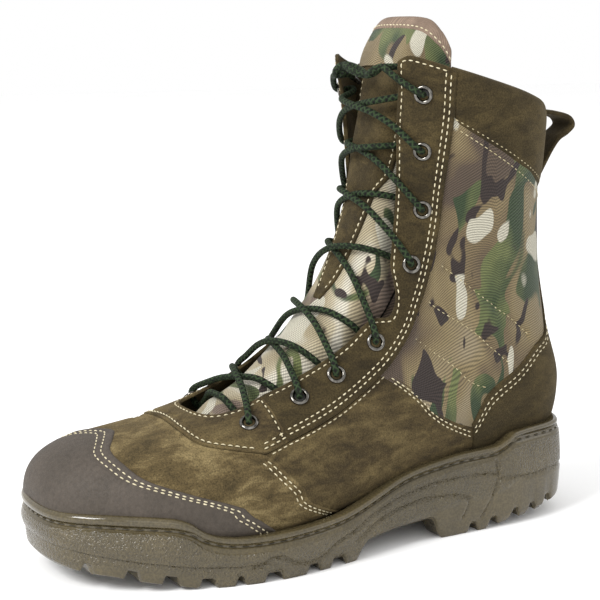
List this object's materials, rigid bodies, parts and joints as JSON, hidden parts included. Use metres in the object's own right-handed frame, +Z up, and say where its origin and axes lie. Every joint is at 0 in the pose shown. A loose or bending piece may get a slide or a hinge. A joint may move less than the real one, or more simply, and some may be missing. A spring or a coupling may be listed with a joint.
{
  "type": "insulated lace-up boot",
  "caption": "Left insulated lace-up field boot: lugged rubber sole, suede and printed cloth upper, padded tongue and collar, inner side zip, rear pull loop.",
  "frame": {"origin": "centre of the bounding box in plan, on the ground plane under the tread", "axes": "+Z up, the toe towards -Y and the heel towards +Y, the outer (lateral) side towards +X"},
  "size_m": [0.1182, 0.3182, 0.2873],
  "materials": {
    "suede": "napped suede, olive brown",
    "cap_leather": "fine-grained matt leather, grey brown",
    "camo_cloth": "heavy woven cloth with a blotched woodland print",
    "rubber": "moulded rubber, olive grey, semi-matt",
    "fleece": "napped fleece",
    "wadding": "fibre wadding",
    "board": "fibre board",
    "plastic": "matt",
    "steel": "bare rolled",
    "dark_nickel": "dark nickel plate",
    "lace_cord": "braided cord, dark green with dark flecks",
    "binding_tape": "woven tape, tan",
    "zip_tape": "woven tape with moulded teeth"
  },
  "bodies": {
    "boot": {"outsole": "rubber", "midsole": "rubber", "shank": "steel", "insole_board": "board", "footbed": "fleece", "toe_cap": "cap_leather", "vamp": "suede", "toe_puff": "plastic", "insulation_vamp": "wadding", "lining_vamp": "fleece", "throat_facing": "suede", "eyestay_lateral": "suede", "eyestay_medial": "suede", "eyelet_lateral_1": "dark_nickel", "eyelet_lateral_2": "dark_nickel", "eyelet_lateral_3": "dark_nickel", "eyelet_lateral_4": "dark_nickel", "eyelet_lateral_5": "dark_nickel", "eyelet_lateral_6": "dark_nickel", "eyelet_lateral_7": "dark_nickel", "eyelet_lateral_8": "dark_nickel", "eyelet_medial_1": "dark_nickel", "eyelet_medial_2": "dark_nickel", "eyelet_medial_3": "dark_nickel", "eyelet_medial_4": "dark_nickel", "eyelet_medial_5": "dark_nickel", "eyelet_medial_6": "dark_nickel", "eyelet_medial_7": "dark_nickel", "eyelet_medial_8": "dark_nickel", "quarter_lateral": "suede", "quarter_medial": "suede", "fabric_lateral": "camo_cloth", "fabric_medial": "camo_cloth", "heel_cover": "suede", "heel_counter": "plastic", "collar_lateral": "suede", "collar_medial_front": "suede", "collar_medial_rear": "suede", "insulation_lateral": "wadding", "insulation_medial": "wadding", "lining_lateral": "fleece", "lining_medial": "fleece", "tongue": "camo_cloth", "tongue_padding": "wadding", "tongue_overlay": "suede", "gusset_lateral": "camo_cloth", "gusset_medial": "camo_cloth", "lace": "lace_cord", "aglet_1": "plastic", "aglet_2": "plastic", "zip_tape_front": "zip_tape", "zip_tape_rear": "zip_tape", "zip_bottom_stop": "dark_nickel", "zip_gusset": "camo_cloth"},
    "zip_slider": {"zip_slider": "dark_nickel"},
    "zip_pull": {"zip_pull": "dark_nickel"},
    "tongue_top": {"tongue_top": "camo_cloth", "tongue_binding": "binding_tape"},
    "pull_loop": {"pull_loop": "suede"}
  },
  "joints": [
    {"name": "zip_run", "type": "slide", "parent": "boot", "child": "zip_slider", "axis": [-0.1201, 0, 0.9928], "range_m": [-0.1, 0]},
    {"name": "zip_pull_swing", "type": "hinge", "parent": "zip_slider", "child": "zip_pull", "pos_m": [-0.05388, 0.08338, 0.22928], "axis": [0, 1, 0], "range_deg": [-5, 110]},
    {"name": "tongue_fold", "type": "hinge", "parent": "boot", "child": "tongue_top", "pos_m": [-0.0019, 0.033, 0.26], "axis": [1, 0, 0], "range_deg": [0, 35]},
    {"name": "pull_loop_swing", "type": "hinge", "parent": "boot", "child": "pull_loop", "pos_m": [-0.00194, 0.136, 0.208], "axis": [0, 0.072, 0.9974], "range_deg": [-12, 12]}
  ]
}
